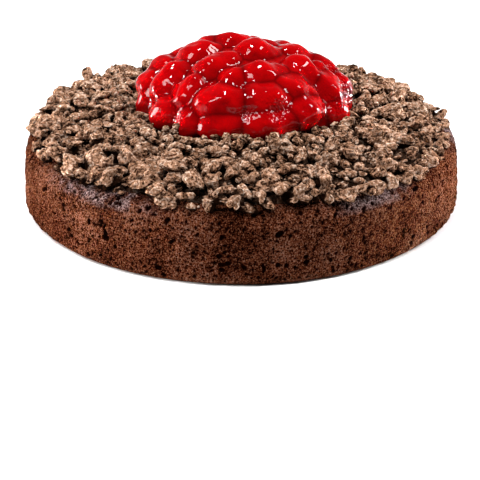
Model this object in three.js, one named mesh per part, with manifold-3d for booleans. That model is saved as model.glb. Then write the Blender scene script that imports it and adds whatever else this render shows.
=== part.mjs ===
// A round chocolate cake with a chocolate crumble top and a mound of glazed strawberries.
//
// Millimetres, +Z up. The origin is the centre of the flat underside, and the front is -Y.
// Sponge, crumble and topping are separate solids that lie on each other with a hair's gap.

import * as THREE from 'three';
import { mergeVertices } from 'three/addons/utils/BufferGeometryUtils.js';
import Module from 'manifold-3d';

const wasm = await Module();
wasm.setup();

// --- Driving dimensions --------------------------------------------------------------------

const SPONGE_RADIUS = 120; // just above the underside, where the cake is widest
const SIDE_DRAFT = 2; // how far the side leans in on its way up
const SIDE_HEIGHT = 36; // underside to the top of the rounded shoulder
const SHOULDER = 9; // radius of the rounding between the side and the top
const FOOT_CHAMFER = 2; // worn lower corner
const DOME_RISE = 8; // how much higher the middle of the sponge stands than its shoulder
const SPONGE_WOBBLE = 0.5; // how far the baked side strays from a true circle

const CRUMBLE_DEPTH = 8; // crumbs over the sponge
const CRUMBLE_LUMP = 4.5; // difference between the highest and the lowest crumbs
const LUMP_PITCH = 8; // from one crumb to the next
const CRUMBLE_RIM = 115.5; // radius of the outer crumbs, which hang over the shoulder
const CRUMBLE_RIM_WOBBLE = 3; // between crumbs that stick out and crumbs that lie back

const TOPPING_SHIFT = 2; // the mound sits a little to the right of the middle
const TOPPING_FOOT = 45; // height of the mound's widest level
const TOPPING_X = 52; // the fruit's centres lie on half an ellipsoid with these half-axes
const TOPPING_Y = 50;
const TOPPING_Z = 33;
const FRUIT_TAPER = 0.18; // how much fatter a fruit is at its stalk end
const JELLY_DEPTH = 3; // the dome of jelly under the fruit lies this far inside the centres
const SEAT_RADIUS = 56; // well that the mound presses into the crumble
const SEAT_WALL = 49; // height at which the well opens out
const SEAT_FLOOR = 2.6; // crushed crumbs left under the mound

const GAP = 0.3; // clearance between pieces that touch
const SEAT_GAP = 0.45; // the same, measured straight up on the sloping shoulder

const CUT_TOLERANCE = 0.14; // cut faces may be this far off, which saves tiny facets

const AROUND = 76; // facets around the cake
const SHOULDER_STEPS = 3;
const TOP_RINGS = 3;
const FRUIT_AROUND = 7;
const FRUIT_STEPS = 5;
const JELLY_AROUND = 20;

// --- The fruit -----------------------------------------------------------------------------
// Each row is [azimuth, level, length, thickness, lean, push]. Azimuth runs round the mound from
// the front to the right, level is how high the fruit sits, from 0 at the foot to 90 at the top,
// lean turns its long axis up from level ground, and push moves it out from the mound's own
// curve where the heap bulges. Angles in degrees; no push is written where there is none.

const FRONT_FRUIT = [
  // foot
  [-84, 8, 17, 12, 70, 1],
  [-53, 14, 21, 15, 45],
  [-33, 12, 15, 14, 90],
  [-13, 12, 23, 15, 5],
  [15, 14, 30, 15, 5],
  [39, 20, 22, 16, 0],
  [66, 9, 20, 16, -10],
  [87, 6, 16, 12, -60],
  // lower row
  [-90, 27, 16, 13, 60, 5],
  [-68, 36, 27, 17, 95],
  [-41, 36, 20, 15, 90],
  [-15, 32, 28, 17, 10],
  [15, 34, 26, 16, 0],
  [38, 38, 23, 14, -25],
  [70, 30, 22, 17, 20],
  [91, 21, 18, 13, -60, 3],
  // upper row
  [-98, 40, 20, 15, 40, 4],
  [-107, 56, 13, 10, 90, 5],
  [-88, 62, 24, 18, 90],
  [-35, 62, 25, 16, 60],
  [-9, 52, 15, 13, 45],
  [19, 55, 24, 16, 0],
  [60, 50, 21, 17, -80],
  [78, 42, 13, 12, -60],
  // crown
  [45, 80, 24, 17, -25],
  [98, 58, 19, 14, -85],
  [106, 40, 23, 13, 10, -1],
  [97, 34, 20, 15, -85],
  [-122, 65, 18, 15, 80],
  [-140, 76, 24, 16, -40],
  [140, 70, 18, 10, 0, -1],
  [134, 56, 15, 11, 0],
];

const BACK_LENGTH = 21;
const BACK_THICKNESS = 16.5;
const MIDDLE_THICKNESS = 15; // the higher the row, the smaller its fruit
const UPPER_THICKNESS = 13.5;
const CROWN_THICKNESS = 11;

/** A repeatable scatter between -0.5 and 0.5 for the pair of counters i and j. */
function uneven(i, j) {
  const wave = Math.sin(12.9898 * (i + 1) + 78.233 * (j + 1)) * 43758.5453;
  return wave - Math.floor(wave) - 0.5;
}

/** Fruit at one level round the back of the mound, of mixed sizes and leans. */
function backRow(level, first, last, count, thickness = BACK_THICKNESS) {
  return Array.from({ length: count }, (_, k) => [
    first + ((last - first) * k) / (count - 1),
    level + 5 * uneven(k, level),
    BACK_LENGTH + 7 * uneven(level, k),
    thickness + 3 * uneven(k + count, level),
    150 * uneven(level, k + count),
  ]);
}

const FRUIT = [
  ...FRONT_FRUIT,
  ...backRow(11, 108, 256, 8),
  ...backRow(33, 117, 247, 7, MIDDLE_THICKNESS),
  ...backRow(47, 148, 232, 4, UPPER_THICKNESS),
  ...backRow(58, 168, 222, 3, CROWN_THICKNESS),
];

// --- Helpers -------------------------------------------------------------------------------

/** Turns a lathe profile of [radius, height] pairs into a geometry that stands along +Z. */
function lathe(profile, segments) {
  const points = profile.map(([radius, height]) => new THREE.Vector2(radius, height));
  return new THREE.LatheGeometry(points, segments).rotateX(Math.PI / 2);
}

/** Makes a manifold solid from a closed three.js geometry. */
function solid(geometry) {
  const bare = geometry.clone();
  bare.deleteAttribute('normal');
  bare.deleteAttribute('uv');
  const merged = mergeVertices(bare, 1e-3);
  const corners = [];
  for (let t = 0; t < merged.index.count; t += 3) {
    const [a, b, c] = [merged.index.getX(t), merged.index.getX(t + 1), merged.index.getX(t + 2)];
    if (a !== b && b !== c && c !== a) corners.push(a, b, c);
  }
  return new wasm.Manifold(new wasm.Mesh({
    numProp: 3,
    vertProperties: Float32Array.from(merged.attributes.position.array),
    triVerts: Uint32Array.from(corners),
  }));
}

/** The largest of the bodies that a cut left, without loose slivers or needless tiny facets. */
function largest(body) {
  const pieces = body.decompose();
  const main = pieces.reduce((best, piece) => (piece.volume() > best.volume() ? piece : best));
  return main.asOriginal().simplify(CUT_TOLERANCE);
}

/** A named mesh from a manifold solid. */
function meshOf(body, name, material) {
  const { vertProperties, triVerts } = body.getMesh();
  const geometry = new THREE.BufferGeometry();
  geometry.setAttribute('position', new THREE.BufferAttribute(vertProperties, 3));
  geometry.setIndex(new THREE.BufferAttribute(triVerts, 1));
  geometry.computeVertexNormals();
  const mesh = new THREE.Mesh(geometry, material);
  mesh.name = name;
  return mesh;
}

// --- Materials -----------------------------------------------------------------------------

const spongeCrumb = new THREE.MeshStandardMaterial({ color: 0x6e3a26, roughness: 0.9, metalness: 0 });
const cocoaCrumble = new THREE.MeshStandardMaterial({ color: 0x7d5f48, roughness: 0.85, metalness: 0 });
const redJelly = new THREE.MeshStandardMaterial({ color: 0xa00308, roughness: 0.1, metalness: 0 });
const glazedFruit = new THREE.MeshStandardMaterial({ color: 0xd40a10, roughness: 0.12, metalness: 0 });

// --- Sponge --------------------------------------------------------------------------------

const TOP_RADIUS = SPONGE_RADIUS - SIDE_DRAFT - SHOULDER; // where the shoulder meets the domed top

/** Height of the domed top at a distance from the middle, before its unevenness. */
function domeHeight(radius) {
  return SIDE_HEIGHT + DOME_RISE * (1 - (radius / TOP_RADIUS) ** 2);
}

/** The shoulder and the domed top as a profile that runs from the side in to the axis. */
function topProfile() {
  const profile = [];
  for (let step = 0; step <= SHOULDER_STEPS; step += 1) {
    const angle = (step / SHOULDER_STEPS) * (Math.PI / 2);
    profile.push([
      TOP_RADIUS + SHOULDER * Math.cos(angle),
      SIDE_HEIGHT - SHOULDER + SHOULDER * Math.sin(angle),
    ]);
  }
  for (let ring = 1; ring <= TOP_RINGS; ring += 1) {
    const radius = TOP_RADIUS * (1 - ring / TOP_RINGS);
    profile.push([radius, domeHeight(radius)]);
  }
  return profile;
}

/** Pushes each point of a lathed piece out or in, as the baked sponge strays from its circle. */
function wobble(geometry) {
  const position = geometry.attributes.position;
  for (let k = 0; k < position.count; k += 1) {
    const turn = Math.atan2(position.getY(k), position.getX(k));
    const sway = Math.sin(3 * turn + 0.7) + 0.6 * Math.sin(5 * turn + 2) + 0.5 * Math.sin(8 * turn);
    const grow = 1 + (SPONGE_WOBBLE * sway) / (2 * SPONGE_RADIUS);
    position.setX(k, position.getX(k) * grow);
    position.setY(k, position.getY(k) * grow);
  }
  return geometry;
}

const sideProfile = [
  [0, 0],
  [SPONGE_RADIUS - FOOT_CHAMFER, 0],
  [SPONGE_RADIUS, FOOT_CHAMFER],
  [SPONGE_RADIUS - SIDE_DRAFT / 2, SIDE_HEIGHT / 2],
];
const sponge = solid(wobble(lathe([...sideProfile, ...topProfile()], AROUND)));

// --- Crumble -------------------------------------------------------------------------------

/** The underside follows the sponge, and the rim and top are crumbs of uneven height. */
function crumbleHeap() {
  const onShoulder = topProfile().slice(SHOULDER_STEPS - 1);
  const underside = onShoulder.map(([radius, height]) => [radius, height + SEAT_GAP]);
  const rimHeight = underside[0][1];
  const rim = [
    [CRUMBLE_RIM, rimHeight + 0.25 * CRUMBLE_DEPTH],
    [CRUMBLE_RIM, rimHeight + 0.75 * CRUMBLE_DEPTH],
  ];
  const top = [];
  for (let radius = CRUMBLE_RIM - 6; radius > SEAT_RADIUS - LUMP_PITCH; radius -= LUMP_PITCH) {
    top.push([radius, domeHeight(radius) + CRUMBLE_DEPTH]);
  }
  const middle = [0, domeHeight(0) + CRUMBLE_DEPTH];
  const profile = [...underside.reverse(), ...rim, ...top, middle];
  const firstRim = underside.length;
  const firstTop = firstRim + rim.length;
  const geometry = lathe(profile, AROUND);
  const position = geometry.attributes.position;
  for (let k = 0; k < position.count; k += 1) {
    const row = k % profile.length;
    const column = Math.floor(k / profile.length) % AROUND;
    if (row >= firstRim && row < firstTop) {
      const grow = 1 + (CRUMBLE_RIM_WOBBLE * uneven(row, column)) / CRUMBLE_RIM;
      position.setX(k, position.getX(k) * grow);
      position.setY(k, position.getY(k) * grow);
    }
    if (row >= firstRim && row < profile.length - 1) {
      position.setZ(k, position.getZ(k) + CRUMBLE_LUMP * uneven(column, row));
    }
  }
  return solid(wobble(geometry));
}

/** The space that the mound takes: a well whose floor follows the sponge, open towards the top. */
function moundSpace(clearance) {
  const radius = SEAT_RADIUS - clearance;
  const height = TOPPING_FOOT + 2 * TOPPING_Z;
  const profile = [0, 0.35, 0.7, 1].map((share) => [
    share * radius,
    domeHeight(share * radius) + SEAT_FLOOR + clearance,
  ]);
  profile.push([radius, SEAT_WALL]);
  profile.push([radius + height - SEAT_WALL, height]);
  profile.push([0, height]);
  const well = lathe(profile, AROUND / 2).scale(TOPPING_X / TOPPING_Y, 1, 1);
  return solid(well.translate(TOPPING_SHIFT, 0, 0));
}

const crumble = largest(crumbleHeap().subtract(moundSpace(0)));

// --- Fruit and jelly -----------------------------------------------------------------------

/** An egg of revolution: half its length along an arc, fatter towards the stalk end. */
function fruitShape(length, thickness) {
  const profile = [];
  for (let step = 0; step <= FRUIT_STEPS; step += 1) {
    const angle = (step / FRUIT_STEPS) * Math.PI;
    const belly = 1 + FRUIT_TAPER * Math.cos(angle);
    profile.push([
      step % FRUIT_STEPS === 0 ? 0 : (thickness / 2) * Math.sin(angle) * belly,
      (-length / 2) * Math.cos(angle),
    ]);
  }
  return lathe(profile, FRUIT_AROUND);
}

/** Puts one fruit in its place on the mound, larger all round by a margin. */
function placedFruit([azimuth, level, length, thickness, lean, push = 0], margin) {
  const turn = THREE.MathUtils.degToRad(azimuth);
  const rise = THREE.MathUtils.degToRad(level);
  const tilt = THREE.MathUtils.degToRad(lean);
  const around = new THREE.Vector3(Math.cos(turn), Math.sin(turn), 0);
  const upwards = new THREE.Vector3(
    -Math.sin(rise) * Math.sin(turn),
    Math.sin(rise) * Math.cos(turn),
    Math.cos(rise),
  );
  const along = around.clone().multiplyScalar(Math.cos(tilt));
  along.addScaledVector(upwards, Math.sin(tilt));
  const outwards = new THREE.Vector3().crossVectors(around, upwards);
  const across = new THREE.Vector3().crossVectors(along, outwards);
  const place = new THREE.Matrix4().makeBasis(outwards, across, along);
  place.setPosition(
    TOPPING_SHIFT + (TOPPING_X * Math.cos(rise) + push) * Math.sin(turn),
    -(TOPPING_Y * Math.cos(rise) + push) * Math.cos(turn),
    TOPPING_FOOT + TOPPING_Z * Math.sin(rise),
  );
  return solid(fruitShape(length + 2 * margin, thickness + 2 * margin).applyMatrix4(place));
}

/** The dome of set jelly that the fruit is bedded in, larger all round by a margin. */
function jellyDome(margin) {
  const inset = JELLY_DEPTH - margin;
  const dome = new THREE.SphereGeometry(1, JELLY_AROUND, JELLY_AROUND / 2);
  dome.rotateX(Math.PI / 2);
  dome.scale(TOPPING_X - inset, TOPPING_Y - inset, TOPPING_Z - inset);
  return solid(dome.translate(TOPPING_SHIFT, 0, TOPPING_FOOT));
}

const space = moundSpace(GAP);
const jelly = largest(jellyDome(0).intersect(space));
const bed = jellyDome(GAP);
const grownFruit = FRUIT.map((fruit) => placedFruit(fruit, GAP));
const fruit = FRUIT.map((row, k) => {
  const seated = placedFruit(row, 0).intersect(space).subtract(bed);
  const earlier = grownFruit.slice(0, k);
  return largest(earlier.reduce((left, other) => left.subtract(other), seated));
});

// --- Assembly ------------------------------------------------------------------------------

const group = new THREE.Group();
group.add(meshOf(sponge, 'sponge', spongeCrumb));
group.add(meshOf(crumble, 'chocolate_crumble', cocoaCrumble));
const topping = new THREE.Group();
topping.add(meshOf(jelly, 'fruit_jelly', redJelly));
fruit.forEach((body, k) => {
  const name = `strawberry_${String(k + 1).padStart(2, '0')}`;
  topping.add(meshOf(body, name, glazedFruit));
});
group.add(topping);

export default group;
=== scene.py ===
# %% [markdown]
# # A chocolate cake with a crumble top and glazed strawberries
#
# The cake is one thing made of four kinds of piece: a baked sponge, a thick scatter of
# chocolate crumbs, a mound of small whole strawberries, and the red glaze that sets between
# them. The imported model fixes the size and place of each. This lesson builds the fine surface
# of every piece as arrays of points, and gives each one a finish made of nodes.

import bpy
import numpy as np
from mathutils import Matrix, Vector


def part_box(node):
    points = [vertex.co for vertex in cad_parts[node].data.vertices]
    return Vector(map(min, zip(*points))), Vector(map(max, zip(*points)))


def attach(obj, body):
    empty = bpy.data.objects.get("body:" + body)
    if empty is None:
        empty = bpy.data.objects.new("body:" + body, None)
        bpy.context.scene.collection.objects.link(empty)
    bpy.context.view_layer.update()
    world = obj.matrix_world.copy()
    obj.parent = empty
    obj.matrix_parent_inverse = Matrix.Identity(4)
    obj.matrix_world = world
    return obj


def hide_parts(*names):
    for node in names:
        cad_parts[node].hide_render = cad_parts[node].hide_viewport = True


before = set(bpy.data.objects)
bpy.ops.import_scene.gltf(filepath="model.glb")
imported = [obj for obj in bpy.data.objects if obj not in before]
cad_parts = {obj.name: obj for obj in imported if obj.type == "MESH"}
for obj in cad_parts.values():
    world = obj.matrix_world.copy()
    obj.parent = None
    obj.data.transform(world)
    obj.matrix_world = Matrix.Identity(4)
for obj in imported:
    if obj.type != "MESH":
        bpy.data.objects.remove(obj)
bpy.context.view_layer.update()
MM = 0.001
print("nodes in the frame:", len(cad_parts))

# %% [markdown]
# ## Small helpers
#
# A mesh is only an array of points and an array of faces, so one function can turn any pair of
# arrays into an object. Lathed shapes share a second helper: rings of points, one above the
# other, are joined by triangles, and a fan closes each end so that no pole is left open.


# %% Meshes from arrays
def mesh_piece(name, points, triangles, material, body="root", smooth=True):
    """A mesh object from points (n, 3) in millimetres and triangles (m, 3)."""
    mesh = bpy.data.meshes.new(name)
    mesh.vertices.add(len(points))
    mesh.vertices.foreach_set("co", (points * MM).astype(np.float32).ravel())
    mesh.loops.add(triangles.size)
    mesh.loops.foreach_set("vertex_index", triangles.astype(np.int32).ravel())
    mesh.polygons.add(len(triangles))
    mesh.polygons.foreach_set("loop_start", np.arange(0, triangles.size, 3, dtype=np.int32))
    mesh.polygons.foreach_set("use_smooth", np.full(len(triangles), smooth))
    mesh.update(calc_edges=True)
    mesh.materials.append(material)
    piece = bpy.data.objects.new(name, mesh)
    bpy.context.collection.objects.link(piece)
    if body:
        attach(piece, body)
    return piece


def closed_rings(rings, first, last):
    """Points and triangles of rings (rows, columns, 3) joined in order and closed at two poles.

    Each ring runs anticlockwise seen from outside the last pole, so that faces point outwards
    when the rings climb from the first pole to the last.
    """
    rows, columns = rings.shape[:2]
    points = np.concatenate([rings.reshape(-1, 3), [first], [last]])
    index = np.arange(rows * columns).reshape(rows, columns)
    after = np.roll(index, -1, axis=1)
    low, low_next = index[:-1], after[:-1]
    high, high_next = index[1:], after[1:]
    walls = [
        np.stack([low, low_next, high_next], axis=-1).reshape(-1, 3),
        np.stack([low, high_next, high], axis=-1).reshape(-1, 3),
    ]
    start, end = rows * columns, rows * columns + 1
    fan_start = np.stack([after[0], index[0], np.full(columns, start)], axis=-1)
    fan_end = np.stack([index[-1], after[-1], np.full(columns, end)], axis=-1)
    return points, np.concatenate([*walls, fan_start, fan_end])


def add_attribute(piece, name, values):
    """One number for each point of the mesh, which a material can read by its name."""
    attribute = piece.data.attributes.new(name, "FLOAT", "POINT")
    attribute.data.foreach_set("value", values.astype(np.float32))


# %% [markdown]
# ## Node helpers
#
# Every finish is a Principled shader with patterns in front of it. A small class keeps the node
# trees readable: it starts a material, makes noises, cells and contour lines on Object
# coordinates, which are metres here, reads numbers that a mesh carries, and turns patterns into
# colours and bumps. What is the same all over a surface is set on the shader's own socket.


# %% Node helpers
class Finish:
    """A material under construction: its nodes, its links and its Principled shader."""

    def __init__(self, name, **values):
        self.material = bpy.data.materials.new(name)
        self.material.use_nodes = True
        self.nodes = self.material.node_tree.nodes
        self.links = self.material.node_tree.links
        self.shader = self.nodes["Principled BSDF"]
        for socket, value in values.items():
            self.shader.inputs[socket.replace("_", " ")].default_value = value
        self.place = self.nodes.new("ShaderNodeTexCoord").outputs["Object"]

    def noise(self, size_mm, detail=2.0, roughness=0.5):
        """Cloudy noise whose blotches are about size_mm across."""
        node = self.nodes.new("ShaderNodeTexNoise")
        self.links.new(self.place, node.inputs["Vector"])
        node.inputs["Scale"].default_value = 1 / (size_mm * MM)
        node.inputs["Detail"].default_value = detail
        node.inputs["Roughness"].default_value = roughness
        return node.outputs["Fac"]

    def contours(self, size_mm, count, detail=1.0):
        """Lines along the levels of a noise, like a map's contours: the sine of count times it."""
        height = self.math("MULTIPLY", self.noise(size_mm, detail), count * 2 * np.pi)
        return self.math("MULTIPLY_ADD", self.math("SINE", height), 0.5, 0.5)

    def cells(self, size_mm):
        """Distance to the nearest of points scattered size_mm apart."""
        node = self.nodes.new("ShaderNodeTexVoronoi")
        self.links.new(self.place, node.inputs["Vector"])
        node.inputs["Scale"].default_value = 1 / (size_mm * MM)
        return node.outputs["Distance"]

    def attribute(self, name):
        """The number that the mesh carries under this name."""
        node = self.nodes.new("ShaderNodeAttribute")
        node.attribute_name = name
        return node.outputs["Fac"]

    def math(self, operation, first, second=0.0, third=0.0, clamp=False):
        """One step of arithmetic on up to three numbers or sockets."""
        node = self.nodes.new("ShaderNodeMath")
        node.operation = operation
        node.use_clamp = clamp
        for socket, value in zip(node.inputs, (first, second, third)):
            if isinstance(value, bpy.types.NodeSocket):
                self.links.new(value, socket)
            else:
                socket.default_value = value
        return node.outputs["Value"]

    def ramp(self, value, *stops):
        """Colours along a value: each stop is (position, (r, g, b))."""
        node = self.nodes.new("ShaderNodeValToRGB")
        self.links.new(value, node.inputs["Fac"])
        stored = node.color_ramp.elements
        while len(stored) < len(stops):
            stored.new(0.5)
        for element, (position, colour) in zip(stored, stops):
            element.position = position
            element.color = (*colour, 1)
        return node.outputs["Color"]

    def mix(self, factor, first, second, blend="MIX"):
        """Blends two colours by a factor."""
        node = self.nodes.new("ShaderNodeMix")
        node.data_type = "RGBA"
        node.blend_type = blend
        for socket, value in ((0, factor), (6, first), (7, second)):
            if isinstance(value, bpy.types.NodeSocket):
                self.links.new(value, node.inputs[socket])
            elif socket == 0:
                node.inputs[socket].default_value = value
            else:
                node.inputs[socket].default_value = (*value, 1)
        return node.outputs[2]

    def bump(self, height, depth_mm, before=None):
        """A bump of the given depth, laid over an earlier one if there is one."""
        node = self.nodes.new("ShaderNodeBump")
        node.inputs["Strength"].default_value = 1.0
        node.inputs["Distance"].default_value = depth_mm * MM
        self.links.new(height, node.inputs["Height"])
        if before is not None:
            self.links.new(before, node.inputs["Normal"])
        return node.outputs["Normal"]

    def set(self, **sockets):
        """Links patterns to the shader's own sockets."""
        for name, value in sockets.items():
            self.links.new(value, self.shader.inputs[name.replace("_", " ")])
        return self.material


# %% [markdown]
# ## Camera
#
# The cake is seen from a little above its top, from far enough away that its round edge looks
# nearly like an even ellipse. The camera stands on the front side and looks down past the cake,
# so the cake fills the upper part of the picture.

# %% Camera
CAMERA_AT = (-0.0005, -0.552, 0.2348)
CAMERA_PITCH_DEG = 26.0
CAMERA_LENS = 79.1

camera_data = bpy.data.cameras.new("camera")
camera_data.lens = CAMERA_LENS
camera_data.sensor_width = 36.0
camera = bpy.data.objects.new("camera", camera_data)
camera.location = CAMERA_AT
camera.rotation_euler = (np.radians(90 - CAMERA_PITCH_DEG), 0, 0)
bpy.context.collection.objects.link(camera)
bpy.context.scene.camera = camera
print("camera", CAMERA_AT, "lens", CAMERA_LENS)

# %% [markdown]
# ## Lights
#
# Wet fruit shows every lamp as a small bright shape, so the lamps are small. Two stand low at the
# sides and model the round side of the sponge, two hang above the front, and one hangs overhead
# for the crumbs. A long strip by the floor on each side, behind a grid that keeps its light
# narrow, lifts the foot of the sponge without lighting the floor in front of it.

# %% Lights
scene = bpy.context.scene
scene.view_settings.view_transform = "Standard"


def softbox(name, at, width, height, power, aim=(0, 0, 0.05), spread_deg=180):
    """A rectangular soft light that faces the cake; a grid in front of it narrows its spread."""
    data = bpy.data.lights.new(name, "AREA")
    data.shape = "RECTANGLE"
    data.size, data.size_y = width, height
    data.energy = power
    data.spread = np.radians(spread_deg)
    light = bpy.data.objects.new(name, data)
    light.location = at
    light.rotation_euler = (Vector(aim) - Vector(at)).to_track_quat("-Z", "Y").to_euler()
    bpy.context.collection.objects.link(light)


FOOT = (0, -0.02, 0.015)
GRID_DEG = 12
softbox("side_left", (-0.80, 0.06, 0.15), 0.26, 0.20, 4.2)
softbox("low_left", (-0.80, 0.07, 0.03), 0.40, 0.04, 0.45, FOOT, GRID_DEG)
softbox("side_right", (0.80, 0.20, 0.15), 0.24, 0.18, 6.4)
softbox("low_right", (0.78, 0.30, 0.03), 0.40, 0.04, 0.44, FOOT, GRID_DEG)
softbox("key_left", (-0.39, -0.34, 0.66), 0.26, 0.21, 4.5)
softbox("key_right", (0.54, -0.09, 0.68), 0.22, 0.18, 5.3)
softbox("top", (-0.12, -0.06, 0.95), 0.18, 0.14, 8.8)

# %% [markdown]
# The room is what the glaze reflects. It is bright low down behind the cake and dim everywhere
# else, so the fruit gets pale rims where it turns away and keeps its deep red where it faces us.
# A white backdrop would do that too, but it would also light the front. What is seen directly
# past the floor is plain white from every side.

# %% Room
ROOM_DIM = 0.05
ROOM_BRIGHT = 0.7
ROOM_BEHIND = (-0.25, 0.6)
ROOM_LEVELS = (0.10, 0.55)

world = bpy.data.worlds.new("room")
scene.world = world
world.use_nodes = True
room = world.node_tree
towards = room.nodes.new("ShaderNodeTexCoord")
split = room.nodes.new("ShaderNodeSeparateXYZ")
room.links.new(towards.outputs["Generated"], split.inputs["Vector"])


def smooth_step(source, span, at_low, at_high):
    """Goes from one value to another while the direction passes the span, without a corner."""
    step = room.nodes.new("ShaderNodeMapRange")
    step.interpolation_type = "SMOOTHSTEP"
    room.links.new(source, step.inputs["Value"])
    sockets = ("From Min", "From Max", "To Min", "To Max")
    for socket, value in zip(sockets, (*span, at_low, at_high)):
        step.inputs[socket].default_value = value
    return step.outputs["Result"]


behind = smooth_step(split.outputs["Y"], ROOM_BEHIND, 0.0, 1.0)
low_down = smooth_step(split.outputs["Z"], ROOM_LEVELS, ROOM_BRIGHT, ROOM_DIM)
glow = room.nodes.new("ShaderNodeMath")
glow.operation = "MULTIPLY_ADD"
room.links.new(behind, glow.inputs[0])
room.links.new(low_down, glow.inputs[1])
glow.inputs[2].default_value = ROOM_DIM
seen = room.nodes.new("ShaderNodeMath")
seen.operation = "MAXIMUM"
room.links.new(glow.outputs["Value"], seen.inputs[0])
room.links.new(room.nodes.new("ShaderNodeLightPath").outputs["Is Camera Ray"], seen.inputs[1])
room.nodes["Background"].inputs["Color"].default_value = (1, 1, 1, 1)
room.links.new(seen.outputs["Value"], room.nodes["Background"].inputs["Strength"])
print("room nodes:", len(room.nodes))

# %% [markdown]
# A wide pale floor stands in for the studio table. The lights fall off within half a metre, and a
# floor that large would turn grey beyond them, so from there on it glows softly by itself, as a
# lit paper sweep would. Near the cake it has no glow, which keeps the cake's own soft shadow.

# %% Floor
FLOOR_SIZE = 30.0
FLOOR_GLOW_CENTRE = (0.0, -0.4, 0.0)
FLOOR_GLOW_FROM = 0.45
FLOOR_GLOW_TO = 0.95
FLOOR_GLOW = 0.9

paint = Finish("floor_paint", Roughness=0.6, Emission_Color=(1, 1, 1, 1))
floor_colour = paint.ramp(paint.noise(300), (0.0, (0.88, 0.88, 0.88)), (1.0, (0.90, 0.90, 0.90)))
away = paint.nodes.new("ShaderNodeVectorMath")
away.operation = "DISTANCE"
paint.links.new(paint.place, away.inputs[0])
away.inputs[1].default_value = FLOOR_GLOW_CENTRE
beyond = paint.math("SUBTRACT", away.outputs["Value"], FLOOR_GLOW_FROM)
far_off = paint.math("MULTIPLY", beyond, 1 / (FLOOR_GLOW_TO - FLOOR_GLOW_FROM), clamp=True)
paint.set(Base_Color=floor_colour, Emission_Strength=paint.math("MULTIPLY", far_off, FLOOR_GLOW))
half = FLOOR_SIZE / 2 / MM
corners = np.array([[-half, -half, 0], [half, -half, 0], [half, half, 0], [-half, half, 0]])
floor = mesh_piece("floor", corners, np.array([[0, 1, 2], [0, 2, 3]]), paint.material, body=None)
print("floor:", FLOOR_SIZE, "m wide")

# %% [markdown]
# ## The cake's sizes
#
# The frame gives each node's box, and the other sizes follow from them: the sponge is as wide as
# its node, its side leans in a little, and its top swells into a low dome. All lengths in the
# rest of the lesson are in millimetres.


# %% Sizes from the frame
def node_box(node):
    """Lowest and highest corner of a node, in millimetres."""
    low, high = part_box(node)
    return np.array(low) / MM, np.array(high) / MM


sponge_low, sponge_high = node_box("sponge")
SPONGE_RADIUS = (sponge_high[0] - sponge_low[0]) / 2
SIDE_DRAFT = 2.0
SHOULDER = 9.0
DOME_RISE = 8.0
SIDE_HEIGHT = sponge_high[2] - DOME_RISE
TOP_RADIUS = SPONGE_RADIUS - SIDE_DRAFT - SHOULDER


def dome_height(radius):
    """Height of the sponge's top: a parabola that is DOME_RISE higher in the middle."""
    return SIDE_HEIGHT + DOME_RISE * (1 - (radius / TOP_RADIUS) ** 2)


def waves(points, pitch, seed, count=6):
    """Smooth noise between about -1 and 1: sine waves of one pitch in random directions, summed
    and divided by the square root of their number."""
    random = np.random.default_rng(seed)
    directions = random.normal(size=(count, points.shape[-1]))
    directions /= np.linalg.norm(directions, axis=1, keepdims=True)
    phases = random.uniform(0, 2 * np.pi, count)
    angles = points @ directions.T * (2 * np.pi / pitch) + phases
    return np.sin(angles).sum(axis=-1) / np.sqrt(count)


print("sponge radius", round(SPONGE_RADIUS, 1), "side", round(SIDE_HEIGHT, 1))

# %% [markdown]
# ## Strawberries
#
# The mound is built of small whole strawberries, each a little egg that is fatter at the stalk
# end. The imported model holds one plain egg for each, so the same table of places is repeated
# here: an azimuth and a level on a plain dome, a length, a thickness, and how far it leans. The
# front is set out berry by berry, and the back in rows with a little scatter.

# %% Strawberries in front
TOPPING_SHIFT = 2.0
TOPPING_FOOT = 45.0
TOPPING_AXES = np.array([52.0, 50.0, 33.0])
FRUIT_TAPER = 0.18

# azimuth, level, length, thickness, lean, push
FRONT_FRUIT = [
    (-84, 8, 17, 12, 70, 1), (-53, 14, 21, 15, 45, 0), (-33, 12, 15, 14, 90, 0),
    (-13, 12, 23, 15, 5, 0), (15, 14, 30, 15, 5, 0), (39, 20, 22, 16, 0, 0),
    (66, 9, 20, 16, -10, 0), (87, 6, 16, 12, -60, 0),
    (-90, 27, 16, 13, 60, 5), (-68, 36, 27, 17, 95, 0), (-41, 36, 20, 15, 90, 0),
    (-15, 32, 28, 17, 10, 0), (15, 34, 26, 16, 0, 0), (38, 38, 23, 14, -25, 0),
    (70, 30, 22, 17, 20, 0), (91, 21, 18, 13, -60, 3),
    (-98, 40, 20, 15, 40, 4), (-107, 56, 13, 10, 90, 5), (-88, 62, 24, 18, 90, 0),
    (-35, 62, 25, 16, 60, 0), (-9, 52, 15, 13, 45, 0), (19, 55, 24, 16, 0, 0),
    (60, 50, 21, 17, -80, 0), (78, 42, 13, 12, -60, 0),
    (45, 80, 24, 17, -25, 0), (98, 58, 19, 14, -85, 0), (106, 40, 23, 13, 10, -1),
    (97, 34, 20, 15, -85, 0), (-122, 65, 18, 15, 80, 0), (-140, 76, 24, 16, -40, 0),
    (140, 70, 18, 10, 0, -1), (134, 56, 15, 11, 0, 0),
]
print("strawberries in front:", len(FRONT_FRUIT))

# %% [markdown]
# The back of the mound is as full as the front. Rows of equal berries would look planted there,
# so each has a little scatter in its level, its size and its lean. It comes from a formula and
# not from a random generator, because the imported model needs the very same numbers.

# %% Strawberries at the back
BACK_LENGTH = 21.0
BACK_THICKNESS = 16.5
MIDDLE_THICKNESS = 15.0
UPPER_THICKNESS = 13.5
CROWN_THICKNESS = 11.0


def uneven(i, j):
    """A repeatable scatter between -0.5 and 0.5 for two counters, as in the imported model."""
    wave = np.sin(12.9898 * (i + 1) + 78.233 * (j + 1)) * 43758.5453
    return wave - np.floor(wave) - 0.5


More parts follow.
